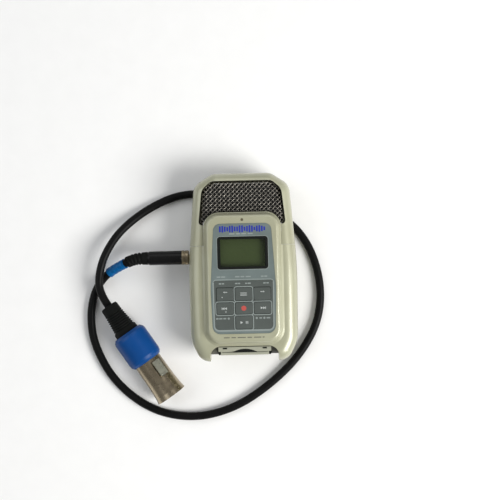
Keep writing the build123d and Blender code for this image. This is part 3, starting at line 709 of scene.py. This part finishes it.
# ------------------------------------------------------------------ operators
class RECORDER_OT_finishes(bpy.types.Operator):
    """Make every finish"""

    bl_idname = "recorder.finishes"
    bl_label = "Finishes"

    def execute(self, context):
        colours = context.scene.recorder_colours
        pearl_lacquer("pearl_lacquer", colours.shell, colours.shell_shade)
        moulded_plastic("door_plastic", (0.36, 0.365, 0.29), (0.35, 0.5), variation=0.06)
        moulded_plastic("cover_plastic", scaled(colours.shell, 0.9), (0.42, 0.56), 0.00002, 0.05)
        moulded_plastic("black_plastic", (0.010, 0.010, 0.010), (0.4, 0.6), shine=0.3)
        moulded_plastic("bay_plastic", (0.085, 0.085, 0.07), (0.35, 0.5))
        moulded_plastic(
            "faceplate_panel", colours.faceplate, (0.28, 0.40), 0.000004, 0.10, coat=0.25
        )
        moulded_plastic("keypad_membrane", colours.keypad, (0.42, 0.55), 0.000010, 0.07)
        moulded_plastic("key_lines", colours.line, (0.4, 0.5), 0.000005, 0.06)
        moulded_plastic("white_print", (0.44, 0.47, 0.46), (0.45, 0.55), 0.000003, 0.04)
        moulded_plastic("grey_print", (0.12, 0.12, 0.095), (0.5, 0.6), 0.000003, 0.04)
        moulded_plastic("red_print", (0.45, 0.070, 0.058), (0.4, 0.5), 0.000003, 0.08)
        moulded_plastic("level_mark", colours.mark, (0.35, 0.45), 0.000003, 0.08)
        moulded_plastic("smoked_pipe", (0.12, 0.10, 0.06), (0.2, 0.3), 0.000002)
        moulded_plastic("bezel_black", (0.003, 0.0045, 0.003), (0.5, 0.7), shine=0.2)
        display_glass("display_glass", colours.display)
        clear_window("clear_window")
        circuit_board("circuit_board", (0.01, 0.07, 0.02))
        moulded_plastic("card_case", (0.02, 0.03, 0.09), (0.4, 0.5))
        moulded_plastic("cell_jacket", (0.02, 0.02, 0.022), (0.25, 0.35), 0.000002, 0.1, coat=0.3)
        worn_metal("contact_steel", (0.6, 0.6, 0.57))
        worn_metal("insert_brass", (0.62, 0.46, 0.2))
        worn_metal("screw_steel", (0.09, 0.09, 0.09), (0.35, 0.5))
        worn_metal("capsule_metal", (0.5, 0.5, 0.5))
        open_foam("open_foam", (0.004, 0.004, 0.004))
        worn_metal("grille_wire", (0.235, 0.22, 0.195), (0.26, 0.38), variation=0.25)
        moulded_plastic("knob_plastic", (0.035, 0.035, 0.035), (0.45, 0.6), 0.000015)
        worn_metal("plug_nickel", (0.30, 0.25, 0.17), (0.26, 0.4), variation=0.3)
        moulded_plastic(
            "plug_barrel", (0.004, 0.004, 0.004), (0.26, 0.36), 0.000003, 0.1, coat=0.05, shine=0.2
        )
        soft_rubber("relief_rubber", (0.004, 0.0045, 0.004))
        soft_rubber("lead_jacket", colours.lead, (0.36, 0.5))
        wound_tape("marker_tape", colours.tape)
        moulded_plastic("ring_blue", colours.ring, (0.30, 0.42), 0.000006, 0.08, shine=0.25)
        dented_nickel("dented_nickel", colours.nickel)
        dented_nickel("latch_plate", (0.66, 0.66, 0.54))
        moulded_plastic("table_top", (0.88, 0.88, 0.88), (0.8, 0.9), 0.00001, 0.01, shine=0.2)
        return {"FINISHED"}


NODE_FINISHES = {
    "pearl_lacquer": ["front_cover", "rear_cover", "head_frame_front", "head_frame_rear"],
    "cover_plastic": ["battery_cover"],
    "door_plastic": ["card_door"],
    "bay_plastic": ["card_bay"],
    "black_plastic": [
        "capsule_carrier", "lcd_carrier", "battery_bay", "tact_switches", "board_chips",
        "mic_in_jack", "line_in_jack", "phones_jack", "dc_jack", "xlr_insert", "slide_switches",
    ],
    "faceplate_panel": ["faceplate"],
    "keypad_membrane": [
        "keypad_mask", "key_menu", "key_record", "key_play", "key_rewind", "key_forward",
        "key_pattern_left", "key_pattern_right",
    ],
    "key_lines": ["key_borders"],
    "clear_window": ["display_window"],
    "bezel_black": ["lcd_bezel"],
    "display_glass": ["lcd_panel"],
    "circuit_board": ["main_board"],
    "smoked_pipe": ["record_lamp"],
    "card_case": ["memory_card"],
    "cell_jacket": ["battery_cells"],
    "contact_steel": ["battery_contacts", "card_socket", "usb_port"],
    "insert_brass": ["tripod_insert", "xlr_contacts"],
    "screw_steel": ["case_screws"],
    "capsule_metal": ["mic_capsules"],
    "open_foam": ["grille_linings"],
    "knob_plastic": ["gain_knob", "power_knob", "volume_rocker"],
    "plug_nickel": ["plug_pin", "plug_collar"],
    "plug_barrel": ["plug_barrel"],
    "ring_blue": ["xlr_ring"],
    "dented_nickel": ["xlr_shell"],
    "latch_plate": ["xlr_latch"],
}


class RECORDER_OT_frame_finishes(bpy.types.Operator):
    """Give each carried-over part its finish"""

    bl_idname = "recorder.frame_finishes"
    bl_label = "Frame finishes"

    def execute(self, context):
        for finish, names in NODE_FINISHES.items():
            for name in names:
                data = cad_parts[name].data
                data.materials.clear()
                data.materials.append(material_named(finish))
        return {"FINISHED"}


TABLE_SIZE = 4.0
TABLE_GAP = 0.0001  # metres between the table and the lowest part
LAMPS = [  # name, place, size and power, tint; each one is aimed at the origin
    ("key_light", (0.85, -0.40, 0.80), 0.7, 18.0, (1.0, 0.99, 0.96)),
    ("fill_light", (-0.9, 0.3, 0.9), 1.1, 5.5, (0.95, 0.98, 1.0)),
    ("head_light", (0.15, 1.0, 0.85), 0.8, 2.6, WHITE),
]
WORLD_STRENGTH = 0.22
CAMERA_LENS = 71.1
CAMERA_OVER = (0.0043, 0.0099)
CAMERA_ROLL = math.radians(-1.3)


class RECORDER_OT_stage(bpy.types.Operator):
    """Set up the table, the lights and the camera"""

    bl_idname = "recorder.stage"
    bl_label = "Stage"

    def execute(self, context):
        deselect_all()
        bpy.ops.mesh.primitive_plane_add(size=TABLE_SIZE, location=(0, 0, -TABLE_GAP))
        table = bpy.context.object
        table.name = "table_top"
        table.data.materials.append(material_named("table_top"))
        for name, place, size, power, tint in LAMPS:
            lamp_data = bpy.data.lights.new(name, "AREA")
            lamp_data.size = size
            lamp_data.energy = power
            lamp_data.color = tint
            lamp = new_object(name, lamp_data)
            lamp.location = place
            lamp.rotation_euler = (-Vector(place)).to_track_quat("-Z", "Y").to_euler()
        world = bpy.data.worlds.new("studio")
        world.use_nodes = True
        background = world.node_tree.nodes["Background"]
        background.inputs["Color"].default_value = (*WHITE, 1.0)
        background.inputs["Strength"].default_value = WORLD_STRENGTH
        context.scene.world = world
        camera_data = bpy.data.cameras.new("camera")
        camera_data.sensor_width = 36.0
        camera_data.lens = CAMERA_LENS
        camera_data.clip_start = 0.01
        camera = new_object("camera", camera_data)
        camera.location = (*CAMERA_OVER, context.scene.recorder_sizes.camera_height)
        camera.rotation_euler = (0.0, 0.0, CAMERA_ROLL)
        context.scene.camera = camera
        context.scene.view_settings.view_transform = "Standard"
        return {"FINISHED"}


class RECORDER_OT_lead(bpy.types.Operator):
    """Lay the lead along its route"""

    bl_idname = "recorder.lead"
    bl_label = "Lead"

    def execute(self, context):
        diameter = context.scene.recorder_sizes.lead_diameter
        curve = route_spline("lead")
        curve.bevel_depth = diameter / 2
        curve.bevel_resolution = 6
        curve.use_fill_caps = True
        curve.materials.append(material_named("lead_jacket"))
        lead = new_object("lead", curve)
        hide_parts("lead_tube")
        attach(lead, "lead")
        return {"FINISHED"}


class RECORDER_OT_plug_relief(bpy.types.Operator):
    """Mould the ribbed relief behind the plug"""

    bl_idname = "recorder.plug_relief"
    bl_label = "Plug relief"

    def execute(self, context):
        lead_start = Vector(LEAD_ROUTE[0]) * MM
        ahead = (Vector(LEAD_ROUTE[1]) - Vector(LEAD_ROUTE[0])).normalized()
        barrel_low, barrel_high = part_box("plug_barrel")
        middle = [(low + high) / 2 for low, high in zip(barrel_low, barrel_high)]
        depth_in_barrel = 0.0004
        overlap_on_lead = 0.0006
        handle_reach = 0.0052
        steps = 90
        start = Vector((barrel_low[0] + depth_in_barrel, middle[1], middle[2]))
        end = lead_start + ahead * overlap_on_lead
        first_handle = start + Vector((-handle_reach, 0, 0))
        second_handle = end - ahead * handle_reach
        points = []
        for step in range(steps + 1):
            t = step / steps
            a, b, c, d = (1 - t) ** 3, 3 * t * (1 - t) ** 2, 3 * t * t * (1 - t), t ** 3
            points.append(start * a + first_handle * b + second_handle * c + end * d)
        radius_at = ribbed(
            start_radius=0.00385, end_radius=0.00335, length=path_length(points),
            pitch=0.0020, groove=0.0006, plain=0.0028,
        )
        relief = piped_piece("plug_relief_ribbed", points, radius_at)
        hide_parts("plug_relief")
        finish_piece(relief, "lead", "relief_rubber", ROUND_ANGLE)
        return {"FINISHED"}


class RECORDER_OT_marker_sleeve(bpy.types.Operator):
    """Wind the blue marker tape round the lead"""

    bl_idname = "recorder.marker_sleeve"
    bl_label = "Marker sleeve"

    def execute(self, context):
        taped = stretch_of(route_points(), start=0.0030, finish=0.0158)
        points = resampled(taped, spacing=0.0003)
        length = path_length(points)
        tape_radius = 0.00295
        lip_height, lip_reach = 0.00011, 0.0006
        overlap_height, plain_edge = 0.00012, 0.0003

        def radius_at(distance):
            edge = min(distance, length - distance)
            radius = tape_radius + lip_height * math.exp(-edge / lip_reach)
            if edge > plain_edge:
                wave = math.sin(distance / 0.0009) * math.sin(distance / 0.00031 + 1.0)
                radius += overlap_height * wave
            return radius

        sleeve = piped_piece("marker_tape_sleeve", points, radius_at)
        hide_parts("marker_sleeve")
        finish_piece(sleeve, "lead", "marker_tape", ROUND_ANGLE)
        return {"FINISHED"}


class RECORDER_OT_connector_boot(bpy.types.Operator):
    """Mould the connector's ribbed boot"""

    bl_idname = "recorder.connector_boot"
    bl_label = "Connector boot"

    def execute(self, context):
        start = Vector(LEAD_ROUTE[-1]) * MM
        ahead = (Vector(LEAD_ROUTE[-1]) - Vector(LEAD_ROUTE[-2])).normalized()
        length, plain, collar = 0.0195, 0.0052, 0.0030
        ribs, steps = 8, 8
        start_radius, flare = 0.0050, 0.0021
        groove_depth = 0.00055
        pitch = (length - plain - collar) / ribs
        profile = [(0.0, 0.0), (0.0, 0.0044), (0.0003, 0.0050), (0.0010, 0.0053)]
        profile.append((plain - 0.0002, 0.0054))
        for rib in range(ribs):
            for step in range(steps):
                share = step / steps
                distance = plain + pitch * (rib + share)
                radius = start_radius + flare * distance / length
                profile.append((distance, radius - groove_depth * groove_share(share)))
        profile += [(length - collar, 0.0068), (length - 0.0026, 0.0072)]
        profile += [(length, 0.0074), (length, 0.0)]
        boot = turned_piece("connector_boot", start, ahead, profile)
        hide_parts("xlr_boot")
        finish_piece(boot, "lead", "relief_rubber", BOOT_ANGLE)
        return {"FINISHED"}


def add_wire(curve, places):
    """One wire as a run of points; a run too short to see is left out."""
    if len(places) <= 2:
        return
    spline = curve.splines.new("POLY")
    spline.points.add(len(places) - 1)
    for point, place in zip(spline.points, places):
        point.co = (*place, 1.0)


def woven_wires(name, outline, keep_out, flat_z, outward, sizes):
    """Two families of wires at 45 degrees, over and under, pressed to a pan's shape."""
    pitch, wire_radius = sizes.wire_pitch, sizes.wire_radius
    rim_margin, arch_margin = 0.00045, 0.0004
    edge_radius = 0.0030
    weave_share = 0.85
    per_crossing = 4
    reach = max(point.length for point in outline) + pitch
    curve = bpy.data.curves.new(name, "CURVE")
    curve.dimensions = "3D"
    curve.bevel_depth = wire_radius
    curve.bevel_resolution = 1
    curve.use_fill_caps = True
    lines = round(2 * reach / pitch)
    middle = lines // 2
    diagonal = math.sqrt(0.5)
    for family in (0, 1):
        along = Vector((diagonal, diagonal if family == 0 else -diagonal))
        across = Vector((-along.y, along.x))
        for line in range(-middle, lines + 1 - middle):
            run = []
            for step in range(-middle * per_crossing, middle * per_crossing + 1):
                place = across * line * pitch + along * step * pitch / per_crossing
                inside = depth_inside(place, outline)
                blocked = keep_out is not None and depth_inside(place, keep_out) > -arch_margin
                if inside < rim_margin or blocked:
                    add_wire(curve, run)
                    run = []
                    continue
                weave = math.cos(math.pi * (step / per_crossing + line + family))
                drop = 0.0
                if inside < edge_radius:
                    rise = max(0.0, edge_radius ** 2 - (edge_radius - inside) ** 2)
                    drop = edge_radius - math.sqrt(rise)
                height = flat_z - outward * drop + weave * wire_radius * weave_share
                run.append((place.x, place.y, height))
            add_wire(curve, run)
    make_active(new_object(name, curve))
    bpy.ops.object.convert(target="MESH")
    return bpy.context.object


class RECORDER_OT_grilles(bpy.types.Operator):
    """Weave the front and rear grilles"""

    bl_idname = "recorder.grilles"
    bl_label = "Grilles"

    def execute(self, context):
        sizes = context.scene.recorder_sizes
        radii = [4.5, 7.0, 2.0]
        corners = both_sides([(17.6, 50.4), (23.2, 45.4), (25.4, 24.8)])
        outline = in_metres(rounded_outline(corners, radii[::-1] + radii))
        panel_arch = both_sides([(22.6, 32.0), (22.6, -44.7)])
        arch = in_metres(rounded_outline(panel_arch, [9.0] * 4))
        flat_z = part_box("front_grille")[1][2] - sizes.wire_radius * 2
        front = woven_wires("front_weave", outline, arch, flat_z, 1.0, sizes)
        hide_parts("front_grille")
        finish_piece(front, "root", "grille_wire", ROUND_ANGLE)
        corners = both_sides([(17.0, 50.2), (22.6, 44.8), (24.0, 20.0)])
        outline = in_metres(rounded_outline(corners, radii[::-1] + radii))
        flat_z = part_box("rear_grille")[0][2] + sizes.wire_radius * 2
        rear = woven_wires("rear_weave", outline, None, flat_z, -1.0, sizes)
        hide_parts("rear_grille")
        finish_piece(rear, "root", "grille_wire", ROUND_ANGLE)
        return {"FINISHED"}


def key_middle(name):
    """The middle of a key's top face."""
    low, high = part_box(name)
    return (low[0] + high[0]) / 2, (low[1] + high[1]) / 2, high[2]


# For each key: its finish and its marks, as kind, x, y, size and, for a bar, depth, in millimetres
# from the key's middle. A triangle is called by the side that it points to.
KEY_MARKS = {
    "key_menu": ("white_print", [
        ("bar", 0.0, 0.7, 3.8, 0.28), ("bar", 0.0, 0.0, 3.8, 0.28), ("bar", 0.0, -0.7, 3.8, 0.28),
    ]),
    "key_record": ("red_print", [("disc", 0.0, 0.0, 1.45)]),
    "key_play": ("white_print", [
        ("right", -1.6, 0.0, 0.95), ("bar", 1.2, 0.0, 0.42, 1.5), ("bar", 2.1, 0.0, 0.42, 1.5),
    ]),
    "key_rewind": ("white_print", [
        ("left", -0.8, 0.0, 0.85), ("left", 0.6, 0.0, 0.85), ("bar", -1.8, 0.0, 0.34, 1.4),
        ("disc", 0.4, -1.9, 0.32),
    ]),
    "key_forward": ("white_print", [
        ("right", -0.6, 0.0, 0.85), ("right", 0.8, 0.0, 0.85), ("bar", 1.8, 0.0, 0.34, 1.4),
    ]),
    "key_pattern_left": ("white_print", [
        ("left", -0.4, 1.2, 0.6), ("bar", 0.8, 1.2, 1.2, 0.4), ("disc", -1.6, -1.7, 0.34),
    ]),
    "key_pattern_right": ("white_print", [
        ("right", 0.8, 1.2, 0.6), ("bar", -0.4, 1.2, 1.2, 0.4),
    ]),
}
SYMBOL_SIDES = {"disc": (40, 0.0), "right": (3, -math.pi / 2), "left": (3, math.pi / 2)}


class RECORDER_OT_key_symbols(bpy.types.Operator):
    """Print the symbols on the keys"""

    bl_idname = "recorder.key_symbols"
    bl_label = "Key symbols"

    def execute(self, context):
        height = context.scene.recorder_sizes.symbol_height
        for key, (finish, marks) in KEY_MARKS.items():
            middle_x, middle_y, top = key_middle(key)
            parts = []
            for kind, dx, dy, size, *depth in marks:
                x, y = middle_x + dx * MM, middle_y + dy * MM
                if kind == "bar":
                    parts.append(flat_bar(x, y, top, size * MM, depth[0] * MM, height))
                else:
                    sides, turn = SYMBOL_SIDES[kind]
                    parts.append(flat_polygon(x, y, top, size * MM, sides, turn, height))
            symbols = joined(parts, key + "_symbol")
            finish_piece(symbols, key + "_cap", finish)
        return {"FINISHED"}


# The small printed dashes, in millimetres: for each row its y, then the x and width of each dash.
MASK_DASHES = {
    -29.3: [(-15.4, 1.5), (-13.4, 1.9), (-11.1, 1.7), (9.6, 1.6), (14.0, 2.2)],
    -9.2: [
        (-13.4, 1.5), (-11.7, 1.3), (-4.0, 1.5), (-2.4, 1.2), (1.6, 1.1), (3.4, 1.9), (12.2, 1.5),
        (14.0, 1.4),
    ],
}
PANEL_DASHES = {
    -5.3: [
        (-14.2, 2.2), (-11.6, 2.4), (-3.4, 2.6), (-0.4, 2.2), (2.9, 3.0), (11.0, 1.6), (13.0, 1.8),
    ],
    19.4: [(-6.0, 3.2), (-2.4, 2.4), (0.9, 2.8), (4.6, 3.0)],
}
RULE_DASHES = {-40.3: [(-10.2, 3.4), (-6.2, 2.6), (-1.6, 4.8), (3.0, 2.6), (7.6, 4.2), (11.0, 1.2)]}
MASK_DOTS = (-8.8, 7.3, 11.7)


def dashes(rows, top, depth, height):
    """Flat bars for rows of printed dashes on a face."""
    return [
        flat_bar(x * MM, y * MM, top, width * MM, depth * MM, height)
        for y, row in rows.items()
        for x, width in row
    ]


class RECORDER_OT_printed_labels(bpy.types.Operator):
    """Print the small labels and the level mark on the fixed panels"""

    bl_idname = "recorder.printed_labels"
    bl_label = "Printed labels"

    def execute(self, context):
        height = context.scene.recorder_sizes.symbol_height
        panel_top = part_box("faceplate")[1][2]
        mask_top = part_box("keypad_mask")[1][2]
        plateau_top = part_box("front_cover")[1][2]
        lens_low, lens_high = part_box("display_window")

        bar_count, bar_spacing = 19, 0.00142
        bar_width, bar_height = 0.00098, 0.0043
        mark_y = (lens_high[1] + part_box("faceplate")[1][1]) / 2 + 0.0006
        bars = []
        for index in range(bar_count):
            x = (index - (bar_count - 1) / 2) * bar_spacing
            fade = 1 - 0.25 * abs(x) / 0.014
            swell = 0.45 + 0.55 * abs(math.sin(index * 0.83 + 0.9)) * fade
            bars.append(flat_bar(x, mark_y, panel_top, bar_width, bar_height * swell, height))
        finish_piece(joined(bars, "level_bars"), "root", "level_mark")

        window = rounded_box_outline(lens_low, lens_high, -0.05 * MM, 1.8 * MM)
        mask = outline_ribbon("window_mask", window, 1.55 * MM, lens_high[2], height * 0.5)
        finish_piece(mask, "root", "bezel_black")
        # a light ribbon round the keypad: partly a printed line, partly a painted highlight along
        # the keypad's edge
        keypad = both_sides([(17.75, -6.7), (17.45, -36.75)])
        keypad = in_metres(rounded_outline(keypad, [3.2, 2.2, 2.2, 3.2]))
        border = outline_ribbon("keypad_line", keypad, 0.42 * MM, panel_top, height)
        finish_piece(border, "root", "key_lines")
        window = rounded_box_outline(lens_low, lens_high, 0.3 * MM, 2.0 * MM)
        rim = outline_ribbon("window_rim", window, 0.3 * MM, panel_top, height)
        finish_piece(rim, "root", "key_lines")

        labels = dashes(MASK_DASHES, mask_top, 0.75, height)
        for x in MASK_DOTS:
            labels.append(flat_polygon(x * MM, -29.3 * MM, mask_top, 0.62 * MM, 24, 0.0, height))
        labels += dashes(PANEL_DASHES, panel_top, 0.7, height)
        finish_piece(joined(labels, "panel_labels"), "root", "key_lines")
        rule = joined(dashes(RULE_DASHES, plateau_top, 0.6, height * 0.5), "lower_rule")
        finish_piece(rule, "root", "grey_print")
        return {"FINISHED"}


class RECORDER_OT_door_recess_shade(bpy.types.Operator):
    """Lay thin black plates in the card door's recess, slots and end cuts, as painted shade."""

    bl_idname = "recorder.door_recesses"
    bl_label = "Door recess shade"

    def execute(self, context):
        radius = 14.5
        low_y, high_y = -49.45, -47.55
        floor_z, shade_plate_height = 0.0236, 0.0008
        steps = 24
        half_angle = math.acos((radius - (high_y - low_y)) / radius)
        arch = []
        for step in range(steps + 1):
            angle = half_angle * (1 - 2 * step / steps)
            y = high_y - radius + radius * math.cos(angle)
            arch.append(Vector((-radius * math.sin(angle), y)))
        # painted shade: a black plate on the recess floor, then black bars in the slots and the end
        # cuts
        shade_plates = [flat_outline("door_recesses", in_metres(arch[::-1]), floor_z, shade_plate_height)]
        for side in (-1, 1):
            slot = (side * 11.6 * MM, -47.15 * MM, floor_z)
            shade_plates.append(flat_bar(*slot, 2.5 * MM, 0.8 * MM, shade_plate_height))
        for side in (-1, 1):
            end_cut = (side * 14.7 * MM, -50.2 * MM, 0.0222)
            shade_plates.append(flat_bar(*end_cut, 1.3 * MM, 1.9 * MM, 0.0009))
        painted_shade_plates = joined(shade_plates, "door_recesses")
        finish_piece(painted_shade_plates, "card_lid", "bezel_black")
        return {"FINISHED"}


# ------------------------------------------------------------------ panel and registration
STEPS = [
    RECORDER_OT_finishes,
    RECORDER_OT_frame_finishes,
    RECORDER_OT_stage,
    RECORDER_OT_lead,
    RECORDER_OT_plug_relief,
    RECORDER_OT_marker_sleeve,
    RECORDER_OT_connector_boot,
    RECORDER_OT_grilles,
    RECORDER_OT_key_symbols,
    RECORDER_OT_printed_labels,
    RECORDER_OT_door_recess_shade,
]


class RECORDER_PT_builder(bpy.types.Panel):
    """Lists the building steps and the settings"""

    bl_idname = "RECORDER_PT_builder"
    bl_label = "Field recorder"
    bl_space_type = "VIEW_3D"
    bl_region_type = "UI"
    bl_category = "Recorder"

    def draw(self, context):
        for step in STEPS:
            self.layout.operator(step.bl_idname)
        for group in (context.scene.recorder_colours, context.scene.recorder_sizes):
            for name in group.__annotations__:
                self.layout.prop(group, name)


def register():
    """Register the settings, the steps and the panel."""
    for item in [RecorderColours, RecorderSizes, *STEPS, RECORDER_PT_builder]:
        bpy.utils.register_class(item)
    bpy.types.Scene.recorder_colours = bpy.props.PointerProperty(type=RecorderColours)
    bpy.types.Scene.recorder_sizes = bpy.props.PointerProperty(type=RecorderSizes)


def unregister():
    """Take everything out again."""
    del bpy.types.Scene.recorder_sizes
    del bpy.types.Scene.recorder_colours
    for item in [RECORDER_PT_builder, *STEPS[::-1], RecorderSizes, RecorderColours]:
        bpy.utils.unregister_class(item)


def main():
    """Build everything in order."""
    register()
    for step in STEPS:
        group, name = step.bl_idname.split(".")
        getattr(getattr(bpy.ops, group), name)()
    on_lead = [bpy.data.objects[name] for name in LEAD_PIECES]
    on_lead += [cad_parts[name] for name in LEAD_NODES]


if __name__ == "__main__":
    main()
